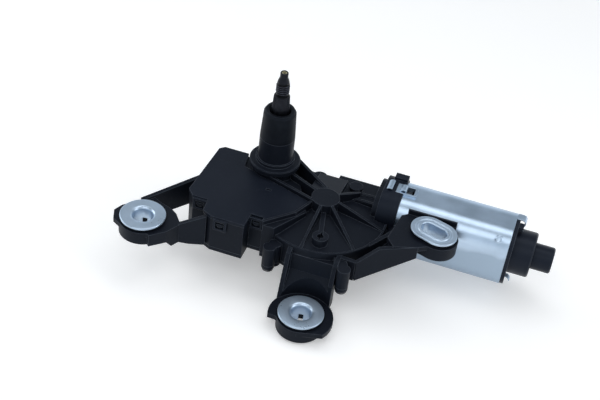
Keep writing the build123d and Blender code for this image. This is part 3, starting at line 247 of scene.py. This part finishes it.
def soft_edge(shade, radius):
    """The surface's normal with rounded edges, and a value that rises on those edges."""
    rounded = shade.node("Bevel", {"samples": edge_samples}, {"Radius": radius})
    flat = shade.node("NewGeometry", {}, {}, "Normal")
    facing = shade.node("VectorMath", {"operation": "DOT_PRODUCT"}, {0: rounded, 1: flat}, "Value")
    return rounded, (1 - facing).ramp(*edge_band)


def moulded(dark, pale, grain_scale, grain_depth, rough):
    """Sockets of a moulded skin: fine grain, cloudy gloss and tone, dust, and painted highlights on
    edges.
    """
    def sockets(shade):
        place = shade.node("TexCoord", {}, {}, "Object")
        cloud = shade.noise(place, cloud_scale, 3.0)
        dust = shade.noise(place, dust_scale, 4.0).ramp(*dust_band)
        grain = shade.noise(place, grain_scale)
        rounded, edge = soft_edge(shade, edge_radius)
        # Edges get a painted highlight, stronger where the cloud is; the cloud and dust are the
        # skin's own tone.
        painted_highlight_and_marks = edge * (edge_highlight_level + edge_highlight_cloud * cloud) + cloud_fade * cloud + dust_fade * dust
        return {"Base Color": painted_highlight_and_marks.between(dark, pale),
                "Roughness": rough - 0.1 + 0.2 * cloud - 0.15 * edge,
                "Normal": shade.bump(grain, 0.3, grain_depth, rounded)}
    return sockets


housing_skin = surface("housing_skin", {"Specular IOR Level": 0.12, "Specular Tint": cool_sheen},
                       moulded(moulded_black, highlight_and_tone_black, 1100.0, 0.0001, 0.44))
dress(housing_skin, "gearbox_housing", "spindle_tower", "bottom_cover")

# Electronics lid, socket and brush holder: the same family of black plastic in a smoother,
# slightly bluer grade. The lid snaps over catches on the box's walls.
lid_black = (0.0058, 0.0082, 0.0152)
# The pale end serves the lid's cloud and dust and the highlights painted on its edges.
highlight_and_tone_lid = (0.12, 0.14, 0.175)

lid_skin = surface("lid_skin", {"Specular IOR Level": 0.13, "Specular Tint": cool_sheen},
                   moulded(lid_black, highlight_and_tone_lid, 1600.0, 0.00007, 0.42))
dress(lid_skin, "electronics_cover", "connector_socket", "brush_holder")

# Spindle: a hollow turned shaft, blackened and oiled. A knurled taper takes the wiper arm, and
# an M8 thread above it the arm's nut. The bare tip ends in the rim of the brass water tube.
mm = 0.001
around = 176
knurl_teeth = 44
knurl_depth = 0.32
thread_pitch = 1.25
thread_depth = 0.75
thread_stations = 9
thread_foot, thread_head = 45.5, 52.9
thread_crest = 3.98
crease = radians(32)
spindle_bore = 1.8
# Strengths of the highlights painted on the knurl's and thread's crests and on the tip.
knurl_shine = 0.35
thread_shine = 1.3
tip_shine = 0.12
tool_row_scale = 2600.0
stain_scale = 260.0
turned_radius = 0.00025
# Blackened steel, and the paler steel that its stains and its painted highlights go towards.
blackened = (0.001, 0.0012, 0.002)
stain_and_highlight_steel = (0.09, 0.098, 0.13)


def linked(name, built):
    """Turns a built skin into a piece of the scene."""
    mesh = bpy.data.meshes.new(name)
    built.to_mesh(mesh)
    built.free()
    piece = bpy.data.objects.new(name, mesh)
    bpy.context.collection.objects.link(piece)
    return piece


def creased(piece):
    """Shades a piece smooth, apart from its sharp edges."""
    piece.data.shade_smooth()
    piece.data.set_sharp_from_angle(angle=crease)
    return piece


def ring_piece(name, rings):
    """A closed skin from rings of points, each joined to the next and the last to the first."""
    built = bmesh.new()
    loops = [[built.verts.new(point) for point in ring] for ring in rings]
    for first, second in zip(loops, loops[1:] + loops[:1]):
        for step in range(len(first)):
            after = (step + 1) % len(first)
            built.faces.new((first[step], first[after], second[after], second[step]))
    bmesh.ops.recalc_face_normals(built, faces=built.faces)
    return creased(linked(name, built))


def settle(piece, material, body, slot, *nodes):
    """Gives a piece its material and its body, and hides the CAD nodes it stands for. The slot is not
    used.
    """
    piece.data.materials.append(material)
    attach(piece, body)
    if nodes:
        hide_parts(*nodes)


def wave(turns):
    """A triangle wave from 0 to 1, once a turn."""
    return 1 - abs(2 * (turns % 1.0) - 1)


spindle_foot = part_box("spindle")[0][2] / mm
spindle_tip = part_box("spindle")[1][2] / mm
knurl = ((28.2, 5.05, 0.0), (28.7, 5.5, 1.0), (43.9, 4.62, 1.0), (44.7, 4.1, 0.15))
rings = []
# Each point also carries a painted highlight: bright on the knurl's and thread's crests, faint on the
# tip.
spindle_highlights = []
for z, radius in ((spindle_foot, spindle_bore), (spindle_foot, 4.7), (spindle_foot + 0.3, 5.0),
                  (22.5, 5.0), (22.5, 4.3), (23.6, 4.3), (23.6, 5.0), (28.0, 5.0)):
    rings.append([(radius, z)] * around)
    spindle_highlights += [0.0] * around
for z, radius, share in knurl:
    rings.append([(radius - share * knurl_depth * (1 - wave(knurl_teeth * step / around)), z)
                  for step in range(around)])
    spindle_highlights += [knurl_shine * share * wave(knurl_teeth * step / around) ** 5
               for step in range(around)]
rings.append([(3.5, 44.9)] * around)
spindle_highlights += [0.0] * around
thread_rows = int((thread_head - thread_foot) / thread_pitch * thread_stations)
for row in range(thread_rows + 1):
    z = thread_foot + (thread_head - thread_foot) * row / thread_rows
    fade = min(1.0, (z - thread_foot) / thread_pitch, (thread_head - z) / thread_pitch)
    heights = [wave(z / thread_pitch - step / around) for step in range(around)]
    rings.append([(thread_crest - thread_depth * (1 - fade * rise), z) for rise in heights])
    spindle_highlights += [thread_shine * fade * rise ** 6 for rise in heights]
for z, radius in ((53.3, 3.45), (54.2, 3.2), (55.3, 2.8), (56.2, 2.4), (56.6, 2.34),
                  (spindle_tip - 0.4, 2.34), (spindle_tip, 2.0), (spindle_tip, spindle_bore)):
    rings.append([(radius, z)] * around)
    spindle_highlights += [tip_shine] * around
spindle = ring_piece("turned_spindle", [
    [(radius * mm * cos(2 * pi * step / around), radius * mm * sin(2 * pi * step / around), z * mm)
     for step, (radius, z) in enumerate(ring)] for ring in rings])
spindle.data.attributes.new("spindle_highlight", "FLOAT", "POINT").data.foreach_set("value", spindle_highlights)


def turned(dark, bright, rough):
    """Sockets of turned steel: rings left by the tool, oil stains, and painted highlights on crests
    and edges.
    """
    def sockets(shade):
        place = shade.node("TexCoord", {}, {}, "Object")
        rows = shade.noise(place, tool_row_scale, 2.0, (0.1, 0.1, 1.0))
        stain = shade.noise(place, stain_scale, 4.0)
        rounded, edge = soft_edge(shade, turned_radius)
        spindle_highlight = shade.node("Attribute", {"attribute_name": "spindle_highlight"}, {}, "Fac")
        # Edges and crests are painted paler as highlights; the stains are the steel's own.
        painted_highlight_and_marks = edge * 0.3 + stain.ramp(0.5, 0.8, 0.0, 0.12) + spindle_highlight
        return {"Base Color": painted_highlight_and_marks.between(dark, bright), "Roughness": rough - 0.08 + 0.2 * stain,
                "Normal": shade.bump(rows, 0.2, 0.00006, rounded)}
    return sockets


black_steel = surface("black_steel", {"Metallic": 0.7, "Specular IOR Level": 0.25},
                      turned(blackened, stain_and_highlight_steel, 0.3))
steel = surface("steel", {"Metallic": 1.0}, turned((0.1, 0.1, 0.105), (0.3, 0.3, 0.31), 0.3))
settle(spindle, black_steel, "spindle", "dark_steel", "spindle")
dress(steel, "spindle_lever", "spindle_spacer", "spindle_clip", "drive_link", "crank_pin",
      "wheel_axle", "armature_shaft", "thrust_ball", "cover_screws")

# Rubber sleeve over the tower, seal round the spindle, and the grommets in the three lugs: all
# pressed in moulds, matte, with a trace of pale bloom.
sleeve_black = (0.0028, 0.0037, 0.0062)
# The pale grey serves both the bloom and the highlights painted on edges.
bloom_and_highlight_grey = (0.05, 0.058, 0.075)
bloom_scale = 110.0
bloom_band = (0.4, 0.8)
rubber_grain = 1900.0


def rubber(shade):
    """Sockets of moulded rubber: soft grain, pale bloom in clouds, and painted highlights on edges.
    """
    place = shade.node("TexCoord", {}, {}, "Object")
    bloom = shade.noise(place, bloom_scale, 4.0)
    grain = shade.noise(place, rubber_grain)
    rounded, edge = soft_edge(shade, edge_radius)
    # Edges are painted paler as highlight; the bloom is the rubber's own.
    pale = edge * 0.6 + bloom.ramp(*bloom_band, 0.0, 0.12)
    return {"Base Color": pale.between(sleeve_black, bloom_and_highlight_grey), "Roughness": 0.48 + 0.16 * bloom,
            "Normal": shade.bump(grain, 0.25, 0.00006, rounded)}


rubber_skin = surface("rubber_skin", {"Specular IOR Level": 0.15, "Specular Tint": cool_sheen},
                      rubber)
dress(rubber_skin, "tower_sleeve", "spindle_seal", "grommet_left", "grommet_front", "grommet_right")

# Bushes of the lugs: each a flanged steel sleeve, pressed and zinc plated. The two round ones roll
# over into the bore, where a notch shows a nib of rubber. The slotted one is dished round its slot.
zinc = (0.52, 0.64, 0.78)
# The darker zinc, towards which the cloudy plating and the painted shade at the foot go.
zinc_dark_and_shade = (0.34, 0.43, 0.53)
passivation_scale = 55.0
spangle_scale = 700.0
ripple_scale = 170.0
# Heights over which painted shade darkens the plating towards its foot.
foot_shade_band = (-0.0125, -0.018)
plated_radius = 0.0004
fillet_steps = 5
bush_around = 96
slot_half = 3.6
slot_turn = radians(-18)
notch_turn = radians(100)
notch_middle = (6.2, 0.0, -10.0)
notch_size = (2.4, 2.8, 5.0)
nib_middle = (7.7, 0.0, -9.4)
nib_size = (2.6, 3.4, 5.0)
nib_round = 0.3
round_bush = ((5.6, -12.0, 0.2), (6.8, -12.0, 0.2), (6.8, -1.2, 0.0), (13.0, -1.2, 0.25),
              (13.0, 0.0, 0.5), (5.6, 0.0, 1.9))
slot_bush = ((4.2, -12.0, 0.2), (5.4, -12.0, 0.2), (5.4, -1.2, 0.0), (10.05, -1.2, 0.25),
             (10.05, 0.0, 0.45), (7.6, 0.0, 0.5), (7.1, -0.4, 0.5), (6.3, -0.4, 0.45),
             (5.7, 0.15, 0.4), (4.2, 0.15, 0.7))


def softened(corners):
    """A closed outline of (r, z) points with each corner rounded by its own radius."""
    outline = []
    for before, (r, z, radius), after in zip(corners[-1:] + corners[:-1], corners,
                                             corners[1:] + corners[:1]):
        corner = Vector((r, z))
        if not radius:
            outline.append(corner)
            continue
        back = (Vector(before[:2]) - corner).normalized()
        ahead = (Vector(after[:2]) - corner).normalized()
        half = back.angle(ahead) / 2
        middle = corner + (back + ahead).normalized() * (radius / sin(half))
        start, end = corner + back * (radius / tan(half)), corner + ahead * (radius / tan(half))
        outline += [middle + (start.lerp(end, step / fillet_steps) - middle).normalized() * radius
                    for step in range(fillet_steps + 1)]
    return outline


def lug_ring(middle, radius, z, half_run, turn):
    """Points round a circle, or round a slot where half_run is above zero."""
    points = []
    for step in range(bush_around):
        angle = 2 * pi * (step + 0.5) / bush_around
        x = radius * cos(angle) + (half_run if cos(angle) > 0 else -half_run)
        y = radius * sin(angle)
        points.append((middle.x + mm * (x * cos(turn) - y * sin(turn)),
                       middle.y + mm * (x * sin(turn) + y * cos(turn)), middle.z + mm * z))
    return points


def lug_block(top, middle, size):
    """The skin of a block beside a lug's bore, turned as the notch is."""
    built = bmesh.new()
    place = Matrix.Translation(top) @ Matrix.Rotation(notch_turn, 4, "Z")
    bmesh.ops.create_cube(built, size=1.0, matrix=place @ Matrix.Translation(Vector(middle) * mm)
                          @ Matrix.Diagonal((*(Vector(size) * mm), 1.0)))
    return built


def plated(line_scale, stretch, rough, foot_shade_depth=0.0):
    """Sockets of zinc-plated sheet: drawing lines, cloudy passivation, painted highlights on edges,
    and painted shade towards the foot when given a depth for it.
    """
    def sockets(shade):
        place = shade.node("TexCoord", {}, {}, "Object")
        lines = shade.noise(place, line_scale, 3.0, stretch)
        cloud = shade.noise(place, passivation_scale, 5.0)
        spangle = shade.noise(place, spangle_scale, 2.0)
        rounded, edge = soft_edge(shade, plated_radius)
        ripple = shade.noise(place, ripple_scale, 3.0, (0.35, 1.0, 1.0))
        up = shade.node("SeparateXYZ", {}, {"Vector": place}, "Z")
        # Painted shade: the plating darkens towards the foot.
        foot_shade = (up + 0.003 * cloud).ramp(*foot_shade_band, 0.0, foot_shade_depth)
        # Edges are painted brighter as highlight; the cloud and spangle are the plating's own.
        bright = cloud.ramp(0.3, 0.7, 0.25, 0.85) + edge * 0.3 + 0.1 * spangle - foot_shade
        return {"Base Color": bright.between(zinc_dark_and_shade, zinc),
                "Roughness": rough - 0.05 + 0.14 * cloud + 0.06 * spangle,
                "Normal": shade.bump(lines + 1.5 * ripple, 0.12, 0.0002, rounded)}
    return sockets


washer_zinc = surface("washer_zinc", {"Metallic": 0.8}, plated(500.0, (1.0, 1.0, 1.0), 0.24))
for side in ("left", "front", "right"):
    low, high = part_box("bush_" + side)
    top = Vector(((low[0] + high[0]) / 2, (low[1] + high[1]) / 2, high[2]))
    slotted = side == "right"
    outline, half_run, turn = (slot_bush, slot_half, slot_turn) if slotted else (round_bush, 0.0, 0.0)
    bush = ring_piece("flanged_bush_" + side,
                      [lug_ring(top, r, z, half_run, turn) for r, z in softened(outline)])
    if not slotted:
        tool = linked("notch", lug_block(top, notch_middle, notch_size))
        cut = bush.modifiers.new("notch", "BOOLEAN")
        cut.object = tool
        cut.solver = "EXACT"
        notched = bush.evaluated_get(bpy.context.evaluated_depsgraph_get())
        shaped = bpy.data.meshes.new_from_object(notched)
        bush.modifiers.clear()
        bush.data = shaped
        bpy.data.objects.remove(tool)
        nib = lug_block(top, nib_middle, nib_size)
        bmesh.ops.bevel(nib, geom=nib.edges[:], offset=nib_round * mm, segments=3, affect="EDGES")
        settle(linked("grommet_nib_" + side, nib), rubber_skin, "motor_and_gearbox", "black_rubber")
    settle(bush, washer_zinc, "motor_and_gearbox", "zinc_plate", "bush_" + side)
dress(washer_zinc, "brush_springs")

# Motor can: drawn steel, zinc plated with a bluish passivation, with faint lines along the draw.
# A tongue bent from its tab hooks the holder, an earth strip lies beside it, and one side has a
# round dimple.
tongue_path = ((79.3, -0.9), (79.1, 0.35), (78.3, 0.95), (77.1, 0.9), (76.2, 0.25), (75.7, -0.35))
tongue_width = 5.6
strip_thickness = 0.7
strip_round = 0.12
earth_path = ((68.3, 0.3), (68.7, 0.75), (69.7, 1.25), (70.7, 1.2), (71.2, 0.75))
earth_width = 8.6
earth_aside = 0.4
dimple_rings = ((0.1, -0.6), (2.6, -0.6), (2.5, 0.02), (2.2, 0.1), (1.95, 0.42), (1.6, 0.55),
                (1.2, 0.42), (0.9, 0.2), (0.1, 0.14))
dimple_around = 40
dimple_middle = Vector((137.3, -8.9, -5.4))
dimple_out = Vector((0.0, -0.744, 0.667))


def strip(name, path, middle_y, width, thickness):
    """A strip of sheet bent along a path of (x, z) points, with soft edges."""
    built = bmesh.new()
    points = [Vector((x, z)) for x, z in path]
    rows = []
    for place, point in enumerate(points):
        along = (points[min(place + 1, len(points) - 1)] - points[max(place - 1, 0)]).normalized()
        out = Vector((-along.y, along.x)) * (thickness / 2)
        rows.append([built.verts.new((mm * (point.x + side * out.x),
                                      mm * (middle_y + across * width / 2),
                                      mm * (point.y + side * out.y)))
                     for side, across in ((1, -1), (1, 1), (-1, 1), (-1, -1))])
    for first, second in zip(rows, rows[1:]):
        for step in range(4):
            after = (step + 1) % 4
            built.faces.new((first[step], first[after], second[after], second[step]))
    built.faces.new(rows[0])
    built.faces.new(rows[-1])
    bmesh.ops.recalc_face_normals(built, faces=built.faces)
    piece = creased(linked(name, built))
    rounding = piece.modifiers.new("soft_edges", "BEVEL")
    rounding.width = strip_round * mm
    rounding.segments = 2
    rounding.limit_method = "ANGLE"
    return piece


# The can is painted darker towards its foot, as shade.
can_zinc = surface("can_zinc", {"Metallic": 1.0}, plated(420.0, (0.04, 1.0, 1.0), 0.27, 0.9))
dress(can_zinc, "motor_can")
motor_y = (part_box("motor_can")[0][1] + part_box("motor_can")[1][1]) / 2 / mm
settle(strip("can_tongue", tongue_path, motor_y, tongue_width, strip_thickness), can_zinc,
       "motor_and_gearbox", "zinc_can")
settle(strip("earth_strip", earth_path, motor_y - earth_aside, earth_width, strip_thickness),
       can_zinc, "motor_and_gearbox", "zinc_plate", "earth_clip")

dimple_across = dimple_out.cross(Vector((1.0, 0.0, 0.0)))
spokes = [Vector((cos(angle), 0.0, 0.0)) + dimple_across * sin(angle)
          for angle in (2 * pi * step / dimple_around for step in range(dimple_around))]
dimple = ring_piece("can_dimple", [
    [mm * (dimple_middle + dimple_out * rise + radius * spoke) for spoke in spokes]
    for radius, rise in dimple_rings])
settle(dimple, can_zinc, "motor_and_gearbox", "zinc_can")

# End cap: a glossier black moulding pressed into the can's rear, its drum and nose over the
# bearing. Three small plated tags hold it, two over its top edge and one at its foot.
cap_black = (0.0058, 0.008, 0.015)
# The pale end serves the cap's cloud and dust and the highlights painted on its edges.
highlight_and_tone_cap = (0.1, 0.115, 0.145)
cap_tags = (
    ("cap_tag_upper", 11.2, 5.2,
     ((143.9, -1.75), (146.9, -1.6), (148.4, -2.0), (149.1, -3.2), (148.9, -5.4))),
    ("cap_tag_side", 7.4, 1.6, ((146.3, -3.2), (147.0, -4.8), (147.9, -6.4), (148.6, -7.9))),
    ("cap_tag_lower", 0.6, 3.2, ((145.6, -37.3), (147.2, -37.6), (148.3, -38.4), (148.8, -39.8))),
)

cap_skin = surface("cap_skin", {"Specular IOR Level": 0.18, "Specular Tint": cool_sheen},
                   moulded(cap_black, highlight_and_tone_cap, 1800.0, 0.00006, 0.34))
dress(cap_skin, "end_cap")
for name, middle_y, width, path in cap_tags:
    settle(strip(name, path, middle_y, width, strip_thickness), can_zinc, "motor_and_gearbox",
           "zinc_plate")

# Everything that the covers hide, each in its own finish: board, wheel, copper, magnets,
# bearings and brushes, as they would be found with the gearbox open.


def fine(colour, scale, rough, spread):
    """Sockets of a plain close-grained finish, with painted highlights on edges."""
    def sockets(shade):
        place = shade.node("TexCoord", {}, {}, "Object")
        fleck = shade.noise(place, scale, 3.0)
        rounded, edge = soft_edge(shade, 0.0002)
        darker = tuple(value * (1 - spread) for value in colour)
        # Edges are painted a little paler, as highlight.
        return {"Base Color": (fleck + 0.2 * edge).between(darker, colour),
                "Roughness": rough + 0.1 * fleck,
                "Normal": shade.bump(fleck, 0.2, 0.0001, rounded)}
    return sockets


finishes = (
    ("laminate", (0.02, 0.11, 0.05), 600.0, 0.35, 0.3, 0.0, ("circuit_board",)),
    ("component", (0.03, 0.03, 0.033), 800.0, 0.4, 0.3, 0.0, ("board_components", "brush_plate")),
    ("acetal", (0.72, 0.7, 0.62), 500.0, 0.4, 0.15, 0.0, ("worm_wheel",)),
    ("copper", (0.75, 0.33, 0.17), 900.0, 0.25, 0.3, 1.0,
     ("windings", "commutator", "choke_coils")),
    ("laminations", (0.3, 0.3, 0.31), 1500.0, 0.35, 0.4, 1.0, ("armature_stack",)),
    ("ferrite", (0.06, 0.06, 0.065), 900.0, 0.6, 0.3, 0.0, ("magnets",)),
    ("bronze", (0.5, 0.33, 0.16), 1800.0, 0.4, 0.4, 1.0,
     ("spindle_bush_upper", "spindle_bush_lower", "front_bearing", "rear_bearing")),
    ("tinned", (0.8, 0.72, 0.45), 700.0, 0.25, 0.2, 1.0,
     ("connector_pins", "motor_terminals", "water_tube")),
    ("carbon", (0.03, 0.03, 0.03), 1200.0, 0.5, 0.3, 0.0, ("brushes",)),
)
for name, colour, scale, rough, spread, metallic, nodes in finishes:
    dress(surface(name, {"Metallic": metallic}, fine(colour, scale, rough, spread)), *nodes)
